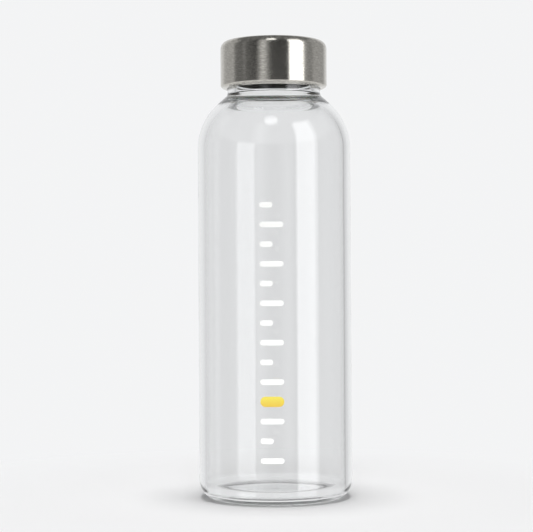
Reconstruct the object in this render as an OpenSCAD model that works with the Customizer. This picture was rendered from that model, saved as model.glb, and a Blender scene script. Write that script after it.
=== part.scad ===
// Glass water bottle with a screw cap.
// The bottle stands on its foot ring at z = 0, and its axis is the Z axis.
// The printed scale faces -Y. All sizes are millimetres.

/* [Glass body] */
// Outside diameter of the straight body
body_d = 68; // [66:0.5:72]
// Wall thickness of the straight body
wall = 3.2; // [2.6:0.1:3.6]
// Height where the straight body ends and the shoulder begins
shoulder_z = 155.2; // [110:0.2:180]
// Radius of the shoulder's curve, seen from the side
shoulder_r = 26.4; // [25:0.2:27]
// How far the shoulder's curve turns before it runs straight up to the neck
shoulder_turn = 48.5; // [47:0.5:53]

/* [Glass base] */
// How far in the rounded base corner reaches
heel_w = 6.6; // [5.5:0.1:7]
// How high the rounded base corner reaches
heel_h = 8; // [5:0.5:9]
// Width of the flat ring that the bottle stands on
foot_w = 3; // [2:0.1:4]
// Height of the hollow inside the foot ring
punt_h = 1.1; // [0.6:0.1:1.6]
// Thickness of the floor
floor_t = 2.4; // [2:0.1:4]
// Radius of the inner corner between floor and wall
floor_corner = 2.4; // [1.8:0.1:4]

/* [Neck] */
// Outside radius of the neck under the cap
neck_r = 20.7; // [20.5:0.05:20.75]
// Radius of the hollow curve between the shoulder and the neck
neck_fillet = 2.4; // [1:0.1:2.8]
// Radius of the opening that the water pours through
bore_r = 16.8; // [15.5:0.1:17.2]
// Outside radius of the threaded finish inside the cap
finish_r = 19.2; // [19:0.05:19.3]
// Height of the bore's lower end below the line where the shoulder meets the neck
bore_drop = 4.3; // [3.8:0.1:4.4]
// Radius of the rounded edge at the bore's lower end
bore_edge = 1.2; // [0.4:0.1:1.6]
// How far the shelf round the bore's lower end reaches out, to the inside of the shoulder
shelf_w = 4; // [3.6:0.1:4.4]
// How far the neck runs straight up inside the cap's lower lip
ring_rise = 0.1; // [0:0.1:0.3]
// Height of the rounded edge above it, where the neck steps in to the finish
ring_round = 1.4; // [1:0.1:1.6]
// Height of the rim below the cap's top
rim_drop = 4.4; // [4.3:0.05:4.6]

/* [Thread] */
// Rise of the cap in one full turn
thread_lead = 8; // [7:0.25:9]
// Number of ridges side by side, on the neck and in the cap
thread_starts = 2; // [2:1:2]
// How far round each ridge runs, in turns
thread_turns = 0.85; // [0.5:0.05:0.95]
// How far a ridge stands out
thread_h = 1.3; // [1:0.05:1.35]
// Height of a ridge at its root
ridge_root = 1.8; // [1.4:0.1:2]
// Height of a ridge at its crest
ridge_crest = 0.9; // [0.6:0.1:1]
// Gap between the flanks of a glass ridge and the cap's ridge below it
flank_gap = 0.3; // [0.2:0.05:0.6]

/* [Cap] */
// Outside diameter of the steel cap
cap_d = 47.4; // [47:0.1:48]
// Height of the steel cap
cap_h = 21.1; // [20.2:0.1:22]
// Height of the cap's lower edge above the line where the shoulder meets the neck
cap_gap = 3; // [2.8:0.1:4.4]
// Thickness of the steel sheet
sheet_t = 0.5; // [0.4:0.05:0.6]
// How far in the rounded top edge reaches
edge_w = 3.1; // [2:0.1:3.4]
// How far down the rounded top edge reaches
edge_h = 3.5; // [2.5:0.1:3.8]
// Radius of the opening in the lower lip, which is rolled in
lip_r = 20.9; // [20.85:0.05:21]
// Height of the rolled lip
lip_h = 1.65; // [1.4:0.05:2]

/* [Liner and seal] */
// Inside radius of the plastic liner's skirt
liner_r = 20.9; // [20.85:0.05:20.95]
// Thickness of the liner's top
liner_top_t = 1.5; // [1.4:0.1:1.6]
// Play between the liner and the steel shell
liner_play = 0.15; // [0.1:0.05:0.2]
// Thickness of the glue between liner and shell
glue_t = 0.4; // [0.3:0.05:0.5]
// Outside radius of the silicone ring
seal_r = 19.9; // [19.8:0.05:20.1]
// Radius of the silicone ring's hole
seal_hole_r = 14.8; // [14:0.1:15.5]
// Thickness of the silicone ring
seal_t = 1.7; // [1.5:0.1:1.7]
// Play between the silicone ring and the glass rim
seal_play = 0.1; // [0.05:0.05:0.15]

/* [Printed scale] */
// Volume between one mark and the next, in millilitres
mark_step_ml = 25; // [20:5:50]
// Volume at the lowest mark, in millilitres
first_mark_ml = 50; // [50:25:100]
// Volume at the highest mark, in millilitres
last_mark_ml = 375; // [200:25:400]
// Volume at the coloured mark, half a metric cup, in millilitres
accent_ml = 125; // [125:25:150]
// Width of the scale and of its long marks
scale_w = 10.2; // [8:0.2:14]
// Length of the short marks
short_mark_w = 5.6; // [4:0.2:7]
// Height of a mark
mark_h = 2.4; // [1:0.1:3]
// Height of the coloured mark
accent_h = 4.4; // [3:0.1:5]
// How far the scale's middle lies to the left of the bottle's middle
scale_shift = 1.3; // [0:0.1:3]
// Thickness of the ink
ink_t = 0.08; // [0.06:0.01:0.12]

/* [Hidden] */

$fn = 96;
arc_steps = 12;          // straight pieces in each curved stretch of an outline
ridge_steps = 48;        // straight pieces in one turn of a thread ridge
ridge_fade = 30;         // degrees over which a ridge grows out of the wall at its ends
ridge_root_depth = 0.5;  // how far a ridge is sunk into the wall that carries it

body_r = body_d / 2;
bore_body_r = body_r - wall;
foot_outer_r = body_r - heel_w;
foot_inner_r = foot_outer_r - foot_w;

// The shoulder's curve, where it ends, and the straight stretch up to the neck.
shoulder_axis_r = body_r - shoulder_r;
inner_shoulder_r = shoulder_r - wall;
shoulder_end = [
    shoulder_axis_r + shoulder_r * cos(shoulder_turn),
    shoulder_z + shoulder_r * sin(shoulder_turn)
];
neck_z = shoulder_end.y + (shoulder_end.x - neck_r) / tan(shoulder_turn);

// Heights of the cap, and of what lies inside it.
cap_z = neck_z + cap_gap;
cap_top_z = cap_z + cap_h;
rim_z = cap_top_z - rim_drop;
rim_round = (finish_r - bore_r) / 2;
ring_z = cap_z + ring_rise;
fillet_reach = neck_fillet * tan(shoulder_turn / 2);

// The inside of the shoulder curves up to the shelf, which leads in to the bore's lower end.
bore_z = neck_z - bore_drop;
shelf_r = bore_r + shelf_w;
inner_shoulder_turn = acos((shelf_r - shoulder_axis_r) / inner_shoulder_r);
shelf_z = shoulder_z + inner_shoulder_r * sin(inner_shoulder_turn);
bore_edge_turn = 90 + atan2(shelf_z - bore_z, shelf_w);
bore_edge_reach = bore_edge * tan(bore_edge_turn / 2);

// The steel shell's curved edges.
cap_r = cap_d / 2;
cap_inner_r = cap_r - sheet_t;
edge_axis = [cap_r - edge_w, cap_top_z - edge_h];
lip_axis = [lip_r, cap_z + lip_h];
lip_w = cap_r - lip_r;

// The liner, the ring that holds the seal in it, and the seal.
liner_outer_r = cap_inner_r - liner_play;
liner_top_z = cap_top_z - sheet_t - glue_t;
liner_ceiling_z = liner_top_z - liner_top_t;
keeper_r = finish_r + 0.3;
keeper_h = 0.9;
keeper_slope_h = 0.7;
keeper_z = rim_z - 1;
glue_r = 19;
seal_z = rim_z + seal_play;

// The thread: each glass ridge has a cap ridge below it, flank to flank.
ridge_pitch = thread_lead / thread_starts;
ridge_rise = thread_lead * thread_turns;
glass_ridge_z = cap_z + 4.8;
flank_slope = (ridge_root - ridge_crest) / 2 / thread_h;
ridge_spacing = ridge_root - flank_slope * (liner_r - finish_r) + flank_gap;
cap_ridge_z = glass_ridge_z - ridge_spacing;

// The scale: one millilitre is a fixed height in the straight body.
ml_per_mm = PI * pow(bore_body_r, 2) / 1000;
floor_z = floor_t + punt_h / 2;

function arc(axis, w, h, from, to) = [
    for (i = [0 : arc_steps])
        let (a = from + (to - from) * i / arc_steps)
        [axis.x + w * cos(a), axis.y + h * sin(a)]
];

function mark_z(ml) = floor_z + ml / ml_per_mm;

// The glass wall's outline, up the outside and back down the inside.
function outer_outline() = concat(
    arc([0, 0], foot_inner_r, punt_h, 90, 0),
    arc([foot_outer_r, heel_h], heel_w, heel_h, -90, 0),
    arc([shoulder_axis_r, shoulder_z], shoulder_r, shoulder_r, 0, shoulder_turn),
    arc([neck_r + neck_fillet, neck_z + fillet_reach], neck_fillet, neck_fillet,
        180 + shoulder_turn, 180),
    arc([finish_r, ring_z], neck_r - finish_r, ring_round, 0, 90)
);

function rim_outline() =
    arc([bore_r + rim_round, rim_z - rim_round], rim_round, rim_round, 0, 180);

function inner_outline() = concat(
    arc([bore_r + bore_edge, bore_z + bore_edge_reach], bore_edge, bore_edge,
        180, 180 + bore_edge_turn),
    arc([shoulder_axis_r, shoulder_z], inner_shoulder_r, inner_shoulder_r,
        inner_shoulder_turn, 0),
    arc([bore_body_r - floor_corner, floor_t + floor_corner], floor_corner, floor_corner, 0, -90),
    arc([0, floor_t], bore_body_r - floor_corner, punt_h, 0, 90)
);

// A thread ridge: a four-sided section carried round and up, fading into the wall at both ends.
module thread_ridge(wall_r, height, z, start_angle) {
    steps = ceil(ridge_steps * thread_turns);
    outward = height > 0;
    buried_r = wall_r - (outward ? 1 : -1) * ridge_root_depth;
    buried_h = ridge_root / 2 + flank_slope * ridge_root_depth;
    function section(t) =
        let (
            turned = 360 * thread_turns * t,
            left = 360 * thread_turns * (1 - t),
            grown = min(1, turned / ridge_fade, left / ridge_fade),
            a = start_angle + turned,
            mid = z + ridge_rise * t,
            crest_r = wall_r + height * grown,
            crest_h = ridge_root / 2 - flank_slope * abs(height) * grown,
            ring = [
                [buried_r, mid - buried_h], [crest_r, mid - crest_h],
                [crest_r, mid + crest_h], [buried_r, mid + buried_h]
            ]
        )
        [for (p = ring) [p.x * cos(a), p.x * sin(a), p.y]];
    points = [for (i = [0 : steps]) each section(i / steps)];
    sides = [
        for (i = [0 : steps - 1], k = [0 : 3])
            let (
                a = 4 * i + k,
                b = 4 * i + (k + 1) % 4,
                c = a + 4,
                d = b + 4
            )
            each [[a, d, c], [a, b, d]]
    ];
    last = 4 * steps;
    ends = [[0, 2, 1], [0, 3, 2], [last, last + 1, last + 2], [last, last + 2, last + 3]];
    faces = concat(sides, ends);
    polyhedron(points, outward ? faces : [for (f = faces) [f[0], f[2], f[1]]]);
}

module thread(wall_r, height, z) {
    for (i = [0 : thread_starts - 1])
        thread_ridge(wall_r, height, z, 360 * i / thread_starts);
}

// Ink that lies on the glass in the shape of a flat child, on the side that faces -Y.
module printed() {
    intersection() {
        difference() {
            cylinder(r = body_r + ink_t, h = shoulder_z);
            translate([0, 0, -1])
                cylinder(r = body_r, h = shoulder_z + 2);
        }
        rotate([90, 0, 0])
            linear_extrude(height = body_d)
                translate([-scale_shift - scale_w / 2, 0])
                    children();
    }
}

// A bar with half-round ends that starts at x = 0, with its middle at height z.
module bar(length, height, z) {
    translate([height / 2, z - height / 2])
        square([length - height, height]);
    for (x = [height / 2, length - height / 2])
        translate([x, z])
            circle(r = height / 2);
}

module glass_bottle() {
    color([0.82, 0.86, 0.86, 0.35])
    union() {
        rotate_extrude()
            polygon(concat(outer_outline(), rim_outline(), inner_outline()));
        thread(finish_r, thread_h, glass_ridge_z);
    }
}

module print_scale() {
    color("white")
    printed()
        for (ml = [first_mark_ml : mark_step_ml : last_mark_ml])
            if (ml != accent_ml)
                bar(ml % (2 * mark_step_ml) == 0 ? scale_w : short_mark_w, mark_h, mark_z(ml));
}

module print_accent() {
    color([0.97, 0.75, 0.15])
    printed()
        bar(scale_w, accent_h, mark_z(accent_ml));
}

module seal_ring() {
    color([0.9, 0.9, 0.87])
    translate([0, 0, seal_z])
    difference() {
        cylinder(r = seal_r, h = seal_t);
        translate([0, 0, -1])
            cylinder(r = seal_hole_r, h = seal_t + 2);
    }
}

module cap_shell() {
    color([0.62, 0.61, 0.59])
    rotate_extrude()
        polygon(concat(
            [[0, cap_top_z]],
            arc(edge_axis, edge_w, edge_h, 90, 0),
            arc(lip_axis, lip_w, lip_h, 0, -90),
            arc(lip_axis, lip_w - sheet_t, lip_h - sheet_t, -90, 0),
            arc(edge_axis, edge_w - sheet_t, edge_h - sheet_t, 0, 90),
            [[0, cap_top_z - sheet_t]]
        ));
}

module cap_liner() {
    gap = sheet_t + liner_play;
    color([0.09, 0.09, 0.09])
    union() {
        rotate_extrude()
            polygon(concat(
                [[0, liner_top_z]],
                arc(edge_axis, edge_w - gap, liner_top_z - edge_axis.y, 90, 0),
                arc(lip_axis, lip_w - gap, lip_h - gap, 0, -90),
                [
                    [liner_r, lip_axis.y],
                    [liner_r, keeper_z - keeper_slope_h],
                    [keeper_r, keeper_z],
                    [keeper_r, keeper_z + keeper_h],
                    [liner_r, keeper_z + keeper_h],
                    [liner_r, liner_ceiling_z],
                    [0, liner_ceiling_z]
                ]
            ));
        thread(liner_r, -thread_h, cap_ridge_z);
    }
}

module liner_adhesive() {
    color([0.85, 0.8, 0.65])
    translate([0, 0, liner_top_z])
        cylinder(r = glue_r, h = glue_t);
}

glass_bottle();
print_scale();
print_accent();
seal_ring();
cap_shell();
cap_liner();
liner_adhesive();
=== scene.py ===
"""Looks for a glass water bottle with a steel screw cap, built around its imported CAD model."""

import math

import bpy
import numpy as np
from mathutils import Euler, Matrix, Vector


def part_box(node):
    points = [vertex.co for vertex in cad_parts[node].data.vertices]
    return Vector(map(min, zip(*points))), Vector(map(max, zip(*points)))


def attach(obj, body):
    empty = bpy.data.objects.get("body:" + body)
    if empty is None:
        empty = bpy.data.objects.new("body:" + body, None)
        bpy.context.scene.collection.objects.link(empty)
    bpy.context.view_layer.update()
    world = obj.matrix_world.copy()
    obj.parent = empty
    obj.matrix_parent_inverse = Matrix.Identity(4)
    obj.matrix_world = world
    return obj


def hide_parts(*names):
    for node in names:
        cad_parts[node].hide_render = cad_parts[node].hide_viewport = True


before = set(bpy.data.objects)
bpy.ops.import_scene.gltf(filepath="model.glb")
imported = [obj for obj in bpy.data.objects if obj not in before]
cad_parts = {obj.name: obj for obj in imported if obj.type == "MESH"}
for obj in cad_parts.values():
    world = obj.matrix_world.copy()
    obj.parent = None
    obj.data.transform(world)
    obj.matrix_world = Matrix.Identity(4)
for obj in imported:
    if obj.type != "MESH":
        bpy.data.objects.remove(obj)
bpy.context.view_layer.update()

MM = 0.001

# ---------------------------------------------------------------- how finely shapes are cut up
SEGMENTS = 256  # straight pieces in a full turn of every turned shape
ARC_STEP = 4.0  # degrees, the longest straight piece in a rounded outline
SHARP_ANGLE = 40  # degrees, edges that bend more than this stay sharp
WALL_ROW = 12  # millimetres, as all that follow: a mesh row on the bottle's straight walls
INNER_ROW = 4  # a row in the neck's bore and inside the steel
CAP_ROW = 2  # a row on the steel's outside
THREAD_ROW = 0.15  # a row where a thread runs
FOOT_STEP = 1  # a ring on the flat of the foot
TOP_STEP = 1.5  # a ring on the cap's flat top
INK_STEP = 0.6  # a column in a bar of ink
SAME_POINT = 1e-4  # points closer than this are one
SAME_WALL = 0.01  # a row this close to a threaded wall is on it

# ---------------------------------------------------------------- sizes, in millimetres
glass_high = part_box("glass_bottle")[1] / MM
shell_low, shell_high = (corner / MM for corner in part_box("cap_shell"))
liner_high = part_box("cap_liner")[1] / MM
seal_low, seal_high = (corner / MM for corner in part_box("seal_ring"))
glue_low, glue_high = (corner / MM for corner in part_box("liner_adhesive"))
scale_low, scale_high = (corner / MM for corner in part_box("print_scale"))
accent_low, accent_high = (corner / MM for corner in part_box("print_accent"))

# Glass
BODY_R = glass_high.x
WALL = 3.2
SHOULDER_Z = 155.2  # top of the straight wall
SHOULDER_R = 26.4
SHOULDER_TURN = 48.5  # degrees of arc from the wall to the neck
HEEL_W = 6.6
HEEL_H = 8
FOOT_W = 3  # the flat ring that the bottle stands on
PUNT_H = 1.1  # the hollow inside that ring, and the floor's crown above it
FLOOR_T = 2.4  # the bottle's own floor, at its edge
FLOOR_CORNER = 2.4
NECK_R = 20.7
NECK_FILLET = 2.4
RING_RISE = 0.1  # from the cap's lower edge up to where the neck's bead rounds in
RING_ROUND = 1.4
FINISH_R = 19.2  # the wall under the thread
RIM_Z = glass_high.z
BORE_R = 16.8
BORE_DROP = 4.3  # from the foot of the neck down to the bore's end
BORE_EDGE = 1.2
SHELF_W = 4  # the slope from the bore out to the shoulder's inside

# Thread
THREAD_LEAD = 8
THREAD_STARTS = 2
THREAD_TURNS = 0.85
THREAD_H = 1.3  # how far a ridge stands out
RIDGE_ROOT = 1.8  # thickness of a ridge at the wall
RIDGE_CREST = 0.9  # and at its top
FLANK_GAP = 0.3
RIDGE_FADE = 30  # degrees over which a ridge's end sinks into the wall
RIDGE_START = 4.8  # from the cap's lower edge up to the first ridge

# Cap
CAP_GAP = 3  # from the foot of the neck up to the cap
CAP_Z = shell_low.z
CAP_TOP_Z = shell_high.z
CAP_R = shell_high.x
SHEET_T = 0.5
EDGE_W = 3.1  # the rounding between the steel's wall and its top
EDGE_H = 3.5
LIP_R = 20.9  # the opening in the rolled lip
LIP_H = 1.65
LINER_R = 20.9  # the wall under the insert's thread
LINER_TOP_T = 1.5
LINER_GAP = 0.65  # from the steel's outside in to the insert
SEAL_HOLE_R = 14.8
SEAL_EDGE = 0.35
GLUE_EDGE = 0.15
KEEPER_OUT = 0.3  # from the glass's wall out to the bead that keeps the ring in the insert
KEEPER_DROP = 1  # from the rim down to that bead
KEEPER_DEPTH = 0.9
KEEPER_SLOPE = 0.7

# Print
INK_T = 0.08
INK_SINK = 0.03
INK_TIP = 0.02  # half the height left at a bar's very end
MARK_COUNT = 14
ACCENT_PLACE = 3  # the accent's place in the scale, from the lowest mark
SHORT_MARK_W = 5.6
MARK_H = 2.4

# Worked out from the sizes above
NECK_Z = CAP_Z - CAP_GAP
INNER_R = BODY_R - WALL
SHOULDER_AXIS_R = BODY_R - SHOULDER_R
INNER_SHOULDER_R = SHOULDER_R - WALL
RIM_ROUND = (FINISH_R - BORE_R) / 2
FLANK = (RIDGE_ROOT - RIDGE_CREST) / 2
EDGE_R = CAP_R - EDGE_W
EDGE_Z = CAP_TOP_Z - EDGE_H
LIP_W = CAP_R - LIP_R
LIP_Z = CAP_Z + LIP_H

# ---------------------------------------------------------------- colours and camera
GLASS_TINT = (0.95, 0.95, 0.952)
GLASS_DEPTH = (0.58, 0.68, 0.65)  # the colour of a long way through the glass
GLASS_DENSITY = 7.0
STEEL = ((0.43, 0.415, 0.375), (0.69, 0.665, 0.615))  # each pair is a dark and a light tone
PLASTIC = ((0.022, 0.023, 0.02), (0.05, 0.052, 0.044))
SILICONE = ((0.72, 0.73, 0.7), (0.82, 0.82, 0.79))
GLUE = ((0.5, 0.44, 0.3), (0.66, 0.6, 0.46))
# painted shade: the yellow ink's darker tone for its foot and lighter tone for its top
INK_YELLOW_PAINTED_SHADE = ((0.69, 0.47, 0.055), (0.76, 0.67, 0.1))
INK_WHITE = (0.86, 0.865, 0.85)
INK_SPECKLE = (0.45, 0.43, 0.4)
BACKDROP = (0.900, 0.905, 0.912)
STAGE = (0.81, 0.81, 0.813)
STUDIO_TINT = (0.985, 0.99, 1.0)
CLOUD = (0.3, 0.7)  # nearly all of a noise lies between these values

CAMERA_BACK = 718  # millimetres in front of the bottle's axis
CAMERA_Z = 99.4  # millimetres, just below the bottle's middle
CAMERA_LENS = 108.6  # millimetres of focal length, for the sensor's width below
CAMERA_SENSOR = 36
CAMERA_TURN = (0.0048, 0.0055, 0.0051)  # radians: up, roll and left

# ---------------------------------------------------------------- studio
# The walls round the bottle: degrees to the right of the camera, seen from above, and brightness.
STUDIO = [
    (-180, 0.90), (-165, 0.88), (-150, 0.84), (-140, 0.76), (-128, 0.54),  # behind, on the left
    (-97, 0.56), (-90, 0.20), (-72, 0.17), (-66, 0.28), (-60, 0.15), (-38, 0.08),  # left
    (-32, 0.35), (-24, 0.80), (-17, 0.58), (-10, 0.20), (-3, 0.05),  # soft screen left of the camera
    (33.5, 0.06), (35.2, 2.9), (67.3, 2.9), (69.3, 0.45),  # softbox
    (83, 0.32), (92, 0.32), (97, 0.50),  # right
    (137, 0.46), (143, 0.72), (165, 0.92), (180, 0.90),  # behind, on the right
]
RAMP_FULL = 4.0  # the brightness that the ramp's white stands for
CEILING_GLOW = 0.2
CEILING_FROM = (42, 46)  # degrees above the horizon
TABLE_GLOW = 0.92
TABLE_FROM = (-22, -14)
LAMP_GLOW = 3.0
LAMP_AZIMUTH = -6
LAMP_HEIGHT = 50
LAMP_SIZE = (8, 10)  # degrees from the lamp's middle, where its edge fades
MATT_SHARE = 0.28  # how much of the studio's light falls on matt surfaces, the suns give the rest
SUNS = [("overhead", 2.48, 25, 0), ("front_fill", 2.55, 30, 84)]  # name, energy, width and tilt in degrees
STAGE_R = 200  # millimetres, the floor that the bottle stands on
STAGE_FADE_FROM = 70


# ---------------------------------------------------------------- mesh helpers
def arc(axis_r, axis_z, w, h, start, end):
    """Points (r, z) on an ellipse's arc, from one angle in degrees to another."""
    steps = max(2, math.ceil(abs(end - start) / ARC_STEP))
    angles = [math.radians(start + (end - start) * i / steps) for i in range(steps + 1)]
    return [(axis_r + w * math.cos(a), axis_z + h * math.sin(a)) for a in angles]


def rows(r, start, end, step):
    """Points up or down a straight wall of radius r, step apart or a little less."""
    count = max(1, math.ceil(abs(end - start) / step))
    return [(r, start + (end - start) * i / count) for i in range(count + 1)]


def rings(z, start, end, step):
    """Points along a flat face at height z, step apart or a little less."""
    count = max(1, math.ceil(abs(end - start) / step))
    return [(start + (end - start) * i / count, z) for i in range(count + 1)]


def without_repeats(outline):
    """The outline with each point that lies on the one before it left out."""
    kept = [outline[0]]
    for point in outline[1:]:
        if math.dist(point, kept[-1]) > SAME_POINT:
            kept.append(point)
    return kept


def add_mesh(name, points, faces):
    """A shaded mesh object from points in millimetres."""
    mesh = bpy.data.meshes.new(name)
    mesh.from_pydata([tuple(c * MM for c in p) for p in points], [], faces)
    mesh.validate()
    mesh.shade_smooth()
    mesh.set_sharp_from_angle(angle=math.radians(SHARP_ANGLE))
    obj = bpy.data.objects.new(name, mesh)
    bpy.context.scene.collection.objects.link(obj)
    return obj


def lathe(name, outline, ridge=None):
    """Turns an outline of points (r, z) round Z. The solid lies on the outline's left, and the outline
    runs from the axis to the axis or closes on itself. ridge(angles, r, z) gives how far out each
    point of a row moves."""
    outline = without_repeats(outline)
    on_axis = outline[0][0] < SAME_POINT
    turned = outline[1:-1] if on_axis else outline
    if not on_axis and math.dist(turned[0], turned[-1]) < SAME_POINT:
        turned = turned[:-1]
    angles = np.arange(SEGMENTS) * 2 * math.pi / SEGMENTS
    points = []
    for r, z in turned:
        radius = r + (ridge(np.degrees(angles), r, z) if ridge else 0 * angles)
        points += list(zip(radius * np.cos(angles), radius * np.sin(angles), [z] * SEGMENTS))
    count = len(turned)
    last = count - 1 if on_axis else count
    faces = []
    for row in range(last):
        low, high = row * SEGMENTS, (row + 1) % count * SEGMENTS
        for i in range(SEGMENTS):
            j = (i + 1) % SEGMENTS
            faces.append((low + i, low + j, high + j, high + i))
    if on_axis:
        first_pole = len(points)
        points += [(0, 0, outline[0][1]), (0, 0, outline[-1][1])]
        for i in range(SEGMENTS):
            j = (i + 1) % SEGMENTS
            faces.append((first_pole, j, i))
            faces.append((first_pole + 1, (count - 1) * SEGMENTS + i, (count - 1) * SEGMENTS + j))
    return add_mesh(name, points, faces)


def smooth(t):
    """A soft step from 0 to 1."""
    t = np.clip(t, 0, 1)
    return t * t * (3 - 2 * t)


def thread(wall_r, height, first_z):
    """A function for lathe(): rounded thread ridges on the wall of radius wall_r."""
    span = 360 * THREAD_TURNS

    def ridge(angles, r, z):
        out = np.zeros(len(angles))
        if abs(r - wall_r) > SAME_WALL:
            return out
        for start in range(THREAD_STARTS):
            turned = (angles - 360 * start / THREAD_STARTS) % 360
            middle = first_z + THREAD_LEAD * turned / 360
            section = smooth((RIDGE_ROOT / 2 - np.abs(z - middle)) / FLANK)
            grown = smooth(np.minimum(turned, span - turned) / RIDGE_FADE)
            out = np.maximum(out, section * grown)
        return height * out

    return ridge


# ---------------------------------------------------------------- material helpers
def new_material(name, **values):
    """A Principled material and its node tree. values are the shader's inputs, with _ for a space."""
    material = bpy.data.materials.new(name)
    material.use_nodes = True
    shader = material.node_tree.nodes["Principled BSDF"]
    for key, value in values.items():
        shader.inputs[key.replace("_", " ")].default_value = value
    return material, material.node_tree, shader


def add_node(tree, kind, values=None, **settings):
    """A node with its settings. values gives a number or another node's output for each input."""
    made = tree.nodes.new(kind)
    for key, value in settings.items():
        setattr(made, key, value)
    for key, value in (values or {}).items():
        if isinstance(value, bpy.types.NodeSocket):
            tree.links.new(value, made.inputs[key])
        else:
            made.inputs[key].default_value = value
    return made


def math_node(tree, operation, *values, clamp=False):
    made = add_node(tree, "ShaderNodeMath", dict(enumerate(values)), operation=operation, use_clamp=clamp)
    return made.outputs[0]


def map_range(tree, value, low, high, to_low=0.0, to_high=1.0, kind="LINEAR"):
    values = {"Value": value, "From Min": low, "From Max": high, "To Min": to_low, "To Max": to_high}
    return add_node(tree, "ShaderNodeMapRange", values, interpolation_type=kind).outputs["Result"]


def noise(tree, vector, scale, detail=3.0, roughness=0.5):
    values = {"Vector": vector, "Scale": scale, "Detail": detail, "Roughness": roughness}
    return add_node(tree, "ShaderNodeTexNoise", values).outputs["Fac"]


def bump(tree, shader, height, distance):
    """A bump whose highest and lowest places lie distance apart, in millimetres."""
    values = {"Height": height, "Distance": distance * MM, "Strength": 1.0}
    made = add_node(tree, "ShaderNodeBump", values)
    tree.links.new(made.outputs[0], shader.inputs["Normal"])


def opaque(colour):
    """A colour with its alpha. A node's output stays as it is."""
    return colour if isinstance(colour, bpy.types.NodeSocket) else (*colour, 1)


def mix_colours(tree, factor, first, second):
    """A mix of two colours, which are a Mix node's inputs 6 and 7."""
    values = {"Factor": factor, 6: opaque(first), 7: opaque(second)}
    return add_node(tree, "ShaderNodeMix", values, data_type="RGBA").outputs[2]


def mix_values(tree, factor, first, second):
    """A mix of two numbers, which are a Mix node's inputs 2 and 3."""
    return add_node(tree, "ShaderNodeMix", {"Factor": factor, 2: first, 3: second}).outputs[0]


def mix_shaders(tree, factor, first, second):
    return add_node(tree, "ShaderNodeMixShader", {0: factor, 1: first, 2: second}).outputs[0]


def object_position(tree):
    return add_node(tree, "ShaderNodeTexCoord").outputs["Object"]


def follow_cloud(tree, shader, cloud, tones, roughnesses):
    """Lets the colour and the roughness go from their first to their second value with a noise."""
    colour = mix_colours(tree, map_range(tree, cloud, *CLOUD), *tones)
    tree.links.new(colour, shader.inputs["Base Color"])
    tree.links.new(map_range(tree, cloud, *CLOUD, *roughnesses), shader.inputs["Roughness"])


# ---------------------------------------------------------------- materials
def clear_glass():
    """Glass with a faint swell in its surface, which takes on a cool tint where it is thick."""
    material, tree, shader = new_material(
        "clear_glass", Base_Color=opaque(GLASS_TINT), Roughness=0.0, IOR=1.5, Transmission_Weight=1.0
    )
    swell = noise(tree, object_position(tree), scale=45.0, detail=1.0)
    bump(tree, shader, swell, 0.03)
    tint = {"Color": opaque(GLASS_DEPTH), "Density": GLASS_DENSITY}
    inside = add_node(tree, "ShaderNodeVolumeAbsorption", tint)
    tree.links.new(inside.outputs[0], tree.nodes["Material Output"].inputs["Volume"])
    return material


def brushed_steel():
    """Steel brushed round the axis, on the wall and on the top alike."""
    material, tree, shader = new_material(
        "brushed_steel", Metallic=1.0, Anisotropic=0.9, Anisotropic_Rotation=0.25
    )
    place = object_position(tree)
    axis_parts = add_node(tree, "ShaderNodeSeparateXYZ", {0: place}).outputs
    flat = add_node(tree, "ShaderNodeCombineXYZ", {0: axis_parts[0], 1: axis_parts[1]}).outputs[0]
    radius = add_node(tree, "ShaderNodeVectorMath", {0: flat}, operation="LENGTH").outputs["Value"]
    around = add_node(tree, "ShaderNodeVectorMath", {0: flat}, operation="NORMALIZE").outputs[0]
    around_parts = add_node(tree, "ShaderNodeSeparateXYZ", {0: around}).outputs
    across = math_node(tree, "ADD", axis_parts[2], radius)

    def brushed(lines_per_mm, spread):
        """A noise's coordinates: fine across the brushing, and spread to a radian along it."""
        lines = math_node(tree, "MULTIPLY", across, lines_per_mm / MM)
        x = math_node(tree, "MULTIPLY", around_parts[0], spread)
        y = math_node(tree, "MULTIPLY", around_parts[1], spread)
        return add_node(tree, "ShaderNodeCombineXYZ", {0: x, 1: y, 2: lines}).outputs[0]

    grain = noise(tree, brushed(6.0, 14.0), scale=1.0, detail=4.0, roughness=0.7)
    mottle = noise(tree, brushed(2.0, 16.0), scale=1.0, detail=3.0, roughness=0.6)
    handling = noise(tree, place, scale=60.0, detail=2.0)
    tone = math_node(tree, "MULTIPLY", grain, mottle)
    polish = map_range(tree, tone, 0.1, 0.42)
    tree.links.new(mix_colours(tree, polish, *STEEL), shader.inputs["Base Color"])
    wear = math_node(tree, "ADD", math_node(tree, "MULTIPLY", grain, 0.5), handling)
    rough = map_range(tree, wear, 0.4, 1.1, to_low=0.17, to_high=0.28)
    tree.links.new(rough, shader.inputs["Roughness"])
    tangent = add_node(tree, "ShaderNodeTangent", direction_type="RADIAL", axis="Z")
    tree.links.new(tangent.outputs[0], shader.inputs["Tangent"])
    bump(tree, shader, grain, 0.006)
    return material


def dark_plastic():
    material, tree, shader = new_material("dark_plastic", Specular_IOR_Level=0.3)
    place = object_position(tree)
    cloud = noise(tree, place, scale=120.0)
    follow_cloud(tree, shader, cloud, PLASTIC, (0.38, 0.52))
    bump(tree, shader, noise(tree, place, scale=2500.0, detail=2.0), 0.02)
    return material


def silicone():
    material, tree, shader = new_material(
        "silicone", Subsurface_Weight=0.35, Subsurface_Scale=2 * MM, Specular_IOR_Level=0.4
    )
    place = object_position(tree)
    cloud = noise(tree, place, scale=160.0)
    follow_cloud(tree, shader, cloud, SILICONE, (0.42, 0.58))
    bump(tree, shader, noise(tree, place, scale=3000.0, detail=2.0), 0.01)
    return material


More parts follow.
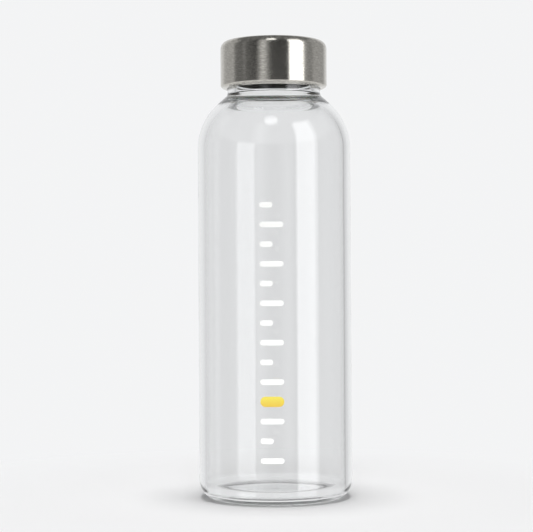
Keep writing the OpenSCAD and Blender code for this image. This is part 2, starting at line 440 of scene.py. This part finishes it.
def adhesive():
    material, tree, shader = new_material("adhesive", Subsurface_Weight=0.2, Subsurface_Scale=1 * MM)
    blobs = noise(tree, object_position(tree), scale=380.0, detail=4.0)
    follow_cloud(tree, shader, blobs, GLUE, (0.25, 0.5))
    bump(tree, shader, blobs, 0.05)
    return material


def ink(name, foot, top, low, high):
    """Screen-printed ink that goes from one colour at height low to another at height high.
    Where the two colours differ, the step is painted shade: darker at the foot, lighter at the top.
    """
    material, tree, shader = new_material(name, Specular_IOR_Level=0.5, Coat_Weight=0.15)
    place = object_position(tree)
    height = add_node(tree, "ShaderNodeSeparateXYZ", {0: place}).outputs[2]
    # painted shade: the ink's colour darkens from its top down to its foot
    painted_height_shade = mix_colours(tree, map_range(tree, height, low * MM, high * MM), foot, top)
    cloud = noise(tree, place, scale=300.0)
    speckle = map_range(tree, cloud, 0.2, 0.8, to_low=0.0, to_high=0.06)
    tree.links.new(mix_colours(tree, speckle, painted_height_shade, INK_SPECKLE), shader.inputs["Base Color"])
    tree.links.new(map_range(tree, cloud, *CLOUD, 0.34, 0.46), shader.inputs["Roughness"])
    bump(tree, shader, noise(tree, place, scale=4000.0, detail=2.0), 0.01)
    return material


# ---------------------------------------------------------------- the bottle
def glass_outline():
    """The glass's section, up the outside, over the rim and down the inside to the floor's middle."""
    fillet_reach = NECK_FILLET * math.tan(math.radians(SHOULDER_TURN / 2))
    fillet_z = NECK_Z + fillet_reach
    ring_z = CAP_Z + RING_RISE
    bore_z = NECK_Z - BORE_DROP
    inner_turn = math.acos((BORE_R + SHELF_W - SHOULDER_AXIS_R) / INNER_SHOULDER_R)
    shelf_z = SHOULDER_Z + INNER_SHOULDER_R * math.sin(inner_turn)
    edge_turn = 90 + math.degrees(math.atan2(shelf_z - bore_z, SHELF_W))
    edge_z = bore_z + BORE_EDGE * math.tan(math.radians(edge_turn / 2))
    floor_r = INNER_R - FLOOR_CORNER
    floor_z = FLOOR_T + FLOOR_CORNER
    foot_r = BODY_R - HEEL_W
    outside = (
        arc(0, 0, foot_r - FOOT_W, PUNT_H, 90, 0)
        + rings(0, foot_r - FOOT_W, foot_r, FOOT_STEP)
        + arc(foot_r, HEEL_H, HEEL_W, HEEL_H, -90, 0)
        + rows(BODY_R, HEEL_H, SHOULDER_Z, WALL_ROW)
        + arc(SHOULDER_AXIS_R, SHOULDER_Z, SHOULDER_R, SHOULDER_R, 0, SHOULDER_TURN)
        + arc(NECK_R + NECK_FILLET, fillet_z, NECK_FILLET, NECK_FILLET, 180 + SHOULDER_TURN, 180)
        + arc(FINISH_R, ring_z, NECK_R - FINISH_R, RING_ROUND, 0, 90)
    )
    finish = rows(FINISH_R, ring_z + RING_ROUND, RIM_Z - RIM_ROUND, THREAD_ROW)
    rim = arc(BORE_R + RIM_ROUND, RIM_Z - RIM_ROUND, RIM_ROUND, RIM_ROUND, 0, 180)
    shoulder_end = math.degrees(inner_turn)
    inside = (
        rows(BORE_R, RIM_Z - RIM_ROUND, edge_z, INNER_ROW)
        + arc(BORE_R + BORE_EDGE, edge_z, BORE_EDGE, BORE_EDGE, 180, 180 + edge_turn)
        + arc(SHOULDER_AXIS_R, SHOULDER_Z, INNER_SHOULDER_R, INNER_SHOULDER_R, shoulder_end, 0)
        + rows(INNER_R, SHOULDER_Z, floor_z, WALL_ROW)
        + arc(floor_r, floor_z, FLOOR_CORNER, FLOOR_CORNER, 0, -90)
        + arc(0, FLOOR_T, floor_r, PUNT_H, 0, 90)
    )
    return outside + finish + rim + inside


def make_glass():
    """The bottle's glass with its thread."""
    obj = lathe("bottle_glass", glass_outline(), thread(FINISH_R, THREAD_H, CAP_Z + RIDGE_START))
    obj.data.materials.append(clear_glass())
    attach(obj, "bottle")
    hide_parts("glass_bottle")


def bar(left, width, z, height):
    """Points and faces of one ink bar with half-round ends, bent round the bottle. Each column has
    four points: low and high in the glass, then low and high outside it."""
    end = height / 2
    right = left + width
    sweep = [math.radians(a) for a in range(0, 91, 10)]
    columns = [left + end - end * math.cos(a) for a in sweep]
    count = max(2, math.ceil((width - height) / INK_STEP))
    columns += [left + end + (width - height) * i / count for i in range(1, count)]
    columns += [right - end + end * math.sin(a) for a in sweep]
    points = []
    for x in columns:
        over = max(left + end - x, x - (right - end), 0)
        half = max(math.sqrt(max(end * end - over * over, 0)), INK_TIP)
        for r in (BODY_R - INK_SINK, BODY_R + INK_T):
            y = -math.sqrt(r * r - x * x)
            points += [(x, y, z - half), (x, y, z + half)]
    faces = [(0, 2, 3, 1)]
    for i in range(len(columns) - 1):
        a, b = 4 * i, 4 * i + 4
        faces += [
            (a + 2, b + 2, b + 3, a + 3),
            (a, a + 1, b + 1, b),
            (a + 1, a + 3, b + 3, b + 1),
            (a, b, b + 2, a + 2),
        ]
    tail = 4 * (len(columns) - 1)
    faces.append((tail, tail + 1, tail + 3, tail + 2))
    return points, faces


def make_print():
    """A scale of long and short white bars, with one yellow bar among them."""
    lowest, highest = scale_low.z + MARK_H / 2, scale_high.z - MARK_H / 2
    long_w = scale_high.x - scale_low.x
    points, faces = [], []
    for place in range(MARK_COUNT):
        if place == ACCENT_PLACE:
            continue
        z = lowest + (highest - lowest) * place / (MARK_COUNT - 1)
        width = long_w if place % 2 == 0 else SHORT_MARK_W
        more_points, more_faces = bar(scale_low.x, width, z, MARK_H)
        faces += [tuple(i + len(points) for i in face) for face in more_faces]
        points += more_points
    marks = add_mesh("scale_marks", points, faces)
    marks.data.materials.append(ink("white_ink", INK_WHITE, INK_WHITE, scale_low.z, scale_high.z))
    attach(marks, "bottle")
    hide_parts("print_scale")

    accent_w, accent_h = accent_high.x - accent_low.x, accent_high.z - accent_low.z
    middle = (accent_high.z + accent_low.z) / 2
    accent = add_mesh("accent_mark", *bar(accent_low.x, accent_w, middle, accent_h))
    accent.data.materials.append(ink("yellow_ink", *INK_YELLOW_PAINTED_SHADE, accent_low.z, accent_high.z))
    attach(accent, "bottle")
    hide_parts("print_accent")


# ---------------------------------------------------------------- the cap
def make_shell():
    """The steel cup, of one thickness all over, with its lip rolled in."""
    inside = (
        [(0, CAP_TOP_Z - SHEET_T)]
        + arc(EDGE_R, EDGE_Z, EDGE_W - SHEET_T, EDGE_H - SHEET_T, 90, 0)
        + rows(CAP_R - SHEET_T, EDGE_Z, LIP_Z, INNER_ROW)
        + arc(LIP_R, LIP_Z, LIP_W - SHEET_T, LIP_H - SHEET_T, 0, -90)
    )
    outside = (
        arc(LIP_R, LIP_Z, LIP_W, LIP_H, -90, 0)
        + rows(CAP_R, LIP_Z, EDGE_Z, CAP_ROW)
        + arc(EDGE_R, EDGE_Z, EDGE_W, EDGE_H, 0, 90)
        + rings(CAP_TOP_Z, EDGE_R, 0, TOP_STEP)
    )
    obj = lathe("cap_steel", inside + outside)
    obj.data.materials.append(brushed_steel())
    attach(obj, "cap")
    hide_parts("cap_shell")


def make_liner():
    """The threaded insert. Its thread runs just below the glass's, and a bead above keeps the ring in."""
    liner_top_z = liner_high.z
    ceiling_z = liner_top_z - LINER_TOP_T
    keeper_r = FINISH_R + KEEPER_OUT
    keeper_z = RIM_Z - KEEPER_DROP
    inside = [
        (0, ceiling_z),
        (LINER_R, ceiling_z),
        (LINER_R, keeper_z + KEEPER_DEPTH),
        (keeper_r, keeper_z + KEEPER_DEPTH),
        (keeper_r, keeper_z),
    ] + rows(LINER_R, keeper_z - KEEPER_SLOPE, LIP_Z, THREAD_ROW)
    outside = (
        arc(LIP_R, LIP_Z, LIP_W - LINER_GAP, LIP_H - LINER_GAP, -90, 0)
        + arc(EDGE_R, EDGE_Z, EDGE_W - LINER_GAP, liner_top_z - EDGE_Z, 0, 90)
        + [(0, liner_top_z)]
    )
    flank_slope = FLANK / THREAD_H
    spacing = RIDGE_ROOT - flank_slope * (LINER_R - FINISH_R) + FLANK_GAP
    ridges = thread(LINER_R, -THREAD_H, CAP_Z + RIDGE_START - spacing)
    obj = lathe("liner_plastic", inside + outside, ridges)
    obj.data.materials.append(dark_plastic())
    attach(obj, "cap")
    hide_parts("cap_liner")


def make_seal():
    """The flat ring, with all four of its edges rounded."""
    edge = SEAL_EDGE
    inner_r, outer_r = SEAL_HOLE_R + edge, seal_high.x - edge
    low, high = seal_low.z + edge, seal_high.z - edge
    outline = (
        arc(inner_r, low, edge, edge, 180, 270)
        + arc(outer_r, low, edge, edge, -90, 0)
        + arc(outer_r, high, edge, edge, 0, 90)
        + arc(inner_r, high, edge, edge, 90, 180)
        + [(SEAL_HOLE_R, low)]
    )
    obj = lathe("seal_silicone", outline)
    obj.data.materials.append(silicone())
    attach(obj, "seal")
    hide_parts("seal_ring")


def make_adhesive():
    """The thin round layer between the insert and the steel's top."""
    edge = GLUE_EDGE
    outer_r = glue_high.x - edge
    low, high = glue_low.z, glue_high.z
    outline = (
        [(0, low)]
        + arc(outer_r, low + edge, edge, edge, -90, 0)
        + arc(outer_r, high - edge, edge, edge, 0, 90)
        + [(0, high)]
    )
    obj = lathe("glue_layer", outline)
    obj.data.materials.append(adhesive())
    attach(obj, "cap")
    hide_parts("liner_adhesive")


# ---------------------------------------------------------------- camera, backdrop, floor and light
def make_camera():
    """The camera looks along +Y, level but for the small turns that frame the bottle."""
    data = bpy.data.cameras.new("camera")
    data.sensor_width = CAMERA_SENSOR
    data.lens = CAMERA_LENS
    camera = bpy.data.objects.new("camera", data)
    bpy.context.scene.collection.objects.link(camera)
    camera.location = (0, -CAMERA_BACK * MM, CAMERA_Z * MM)
    up, roll, left = CAMERA_TURN
    camera.rotation_euler = Euler((math.pi / 2 + up, roll, left))
    data.clip_start = 10 * MM
    bpy.context.scene.camera = camera


def towards(azimuth, height):
    """The direction of a place in the studio, from its two angles in degrees."""
    turn, rise = math.radians(azimuth), math.radians(height)
    return Vector((math.sin(turn) * math.cos(rise), -math.cos(turn) * math.cos(rise), math.sin(rise)))


def studio_level(tree):
    """The studio's brightness in every direction: its walls, ceiling, table and one round lamp."""
    way = add_node(tree, "ShaderNodeTexCoord").outputs["Generated"]
    parts = add_node(tree, "ShaderNodeSeparateXYZ", {0: way}).outputs
    height = math_node(tree, "DEGREES", math_node(tree, "ARCSINE", parts[2]))
    azimuth = math_node(tree, "ARCTAN2", parts[0], math_node(tree, "MULTIPLY", parts[1], -1.0))
    azimuth = math_node(tree, "DEGREES", azimuth)
    ramp = add_node(tree, "ShaderNodeValToRGB", {0: map_range(tree, azimuth, -180.0, 180.0)})
    stops = ramp.color_ramp.elements  # a new ramp has two already
    for place, (degrees, glow) in enumerate(STUDIO):
        at = (degrees + 180) / 360
        stop = stops[place] if place < 2 else stops.new(at)
        stop.position = at
        stop.color = (*[glow / RAMP_FULL] * 3, 1)
    walls = math_node(tree, "MULTIPLY", ramp.outputs[0], RAMP_FULL)
    above = map_range(tree, height, *CEILING_FROM, kind="SMOOTHSTEP")
    below = map_range(tree, height, *TABLE_FROM, 1.0, 0.0, kind="SMOOTHSTEP")
    to_lamp = {0: way, 1: towards(LAMP_AZIMUTH, LAMP_HEIGHT)}
    nearness = add_node(tree, "ShaderNodeVectorMath", to_lamp, operation="DOT_PRODUCT").outputs["Value"]
    inner, outer = (math.cos(math.radians(a)) for a in LAMP_SIZE)
    lamp = map_range(tree, nearness, outer, inner, kind="SMOOTHSTEP")
    level = mix_values(tree, above, walls, CEILING_GLOW)
    level = mix_values(tree, below, level, TABLE_GLOW)
    return mix_values(tree, lamp, level, LAMP_GLOW)


def make_world():
    """An even white behind everything, and a studio that only mirroring and matt surfaces catch."""
    world = bpy.data.worlds.new("studio")
    bpy.context.scene.world = world
    world.use_nodes = True
    tree = world.node_tree
    path = add_node(tree, "ShaderNodeLightPath").outputs
    level = studio_level(tree)
    dimmed = math_node(tree, "MULTIPLY", level, MATT_SHARE)
    level = mix_values(tree, path["Is Diffuse Ray"], level, dimmed)
    studio = tree.nodes["Background"]
    tree.links.new(level, studio.inputs["Strength"])
    studio.inputs["Color"].default_value = opaque(STUDIO_TINT)
    backdrop = add_node(tree, "ShaderNodeBackground", {"Color": opaque(BACKDROP), "Strength": 1.0})
    bounces = math_node(tree, "ADD", path["Glossy Depth"], path["Diffuse Depth"])
    straight = math_node(tree, "SUBTRACT", 1.0, bounces, clamp=True)
    through = math_node(tree, "MULTIPLY", path["Is Transmission Ray"], straight)
    seen = math_node(tree, "MAXIMUM", path["Is Camera Ray"], through)
    both = mix_shaders(tree, seen, studio.outputs[0], backdrop.outputs[0])
    tree.links.new(both, tree.nodes["World Output"].inputs["Surface"])


def make_floor():
    """A pale round floor that melts into the backdrop. It isn't mirrored, and is clear from below."""
    turns = [2 * math.pi * i / SEGMENTS for i in range(SEGMENTS)]
    points = [(STAGE_R * math.cos(a), STAGE_R * math.sin(a), 0) for a in turns]
    obj = add_mesh("floor", points, [tuple(range(SEGMENTS))])
    material = bpy.data.materials.new("floor")
    material.use_nodes = True
    material.cycles.emission_sampling = "NONE"
    tree = material.node_tree
    tree.nodes.remove(tree.nodes["Principled BSDF"])
    away = add_node(tree, "ShaderNodeVectorMath", {0: object_position(tree)}, operation="LENGTH")
    fade = map_range(tree, away.outputs["Value"], STAGE_FADE_FROM * MM, STAGE_R * MM, kind="SMOOTHSTEP")
    pale = add_node(tree, "ShaderNodeBsdfDiffuse", {"Color": opaque(STAGE)}).outputs[0]
    white = add_node(tree, "ShaderNodeEmission", {"Color": opaque(BACKDROP)}).outputs[0]
    clear = add_node(tree, "ShaderNodeBsdfTransparent").outputs[0]
    mirrored = add_node(tree, "ShaderNodeLightPath").outputs["Glossy Depth"]
    from_below = add_node(tree, "ShaderNodeNewGeometry").outputs["Backfacing"]
    unseen = math_node(tree, "ADD", mirrored, from_below, clamp=True)
    shown = mix_shaders(tree, unseen, mix_shaders(tree, fade, pale, white), clear)
    tree.links.new(shown, tree.nodes["Material Output"].inputs["Surface"])
    obj.data.materials.append(material)
    obj.visible_glossy = False


def make_sun(name, energy, width, tilt):
    """A soft distant lamp that only matt surfaces catch, tilted from overhead towards the camera."""
    data = bpy.data.lights.new(name, "SUN")
    data.energy = energy
    data.angle = math.radians(width)
    sun = bpy.data.objects.new(name, data)
    bpy.context.scene.collection.objects.link(sun)
    sun.rotation_euler = Euler((math.radians(tilt), 0, 0))
    sun.visible_glossy = False
    sun.visible_camera = False
    sun.visible_transmission = False


def set_render():
    """Plain colours, and enough bounces for light to find its way through the glass and the cap."""
    scene = bpy.context.scene
    scene.view_settings.view_transform = "Standard"
    scene.cycles.max_bounces = 32
    scene.cycles.transmission_bounces = 24
    scene.cycles.glossy_bounces = 12
    scene.cycles.transparent_max_bounces = 24
    scene.cycles.blur_glossy = 0.0


make_camera()
make_glass()
make_print()
make_shell()
make_liner()
make_seal()
make_adhesive()
make_world()
make_floor()
for sun in SUNS:
    make_sun(*sun)
set_render()
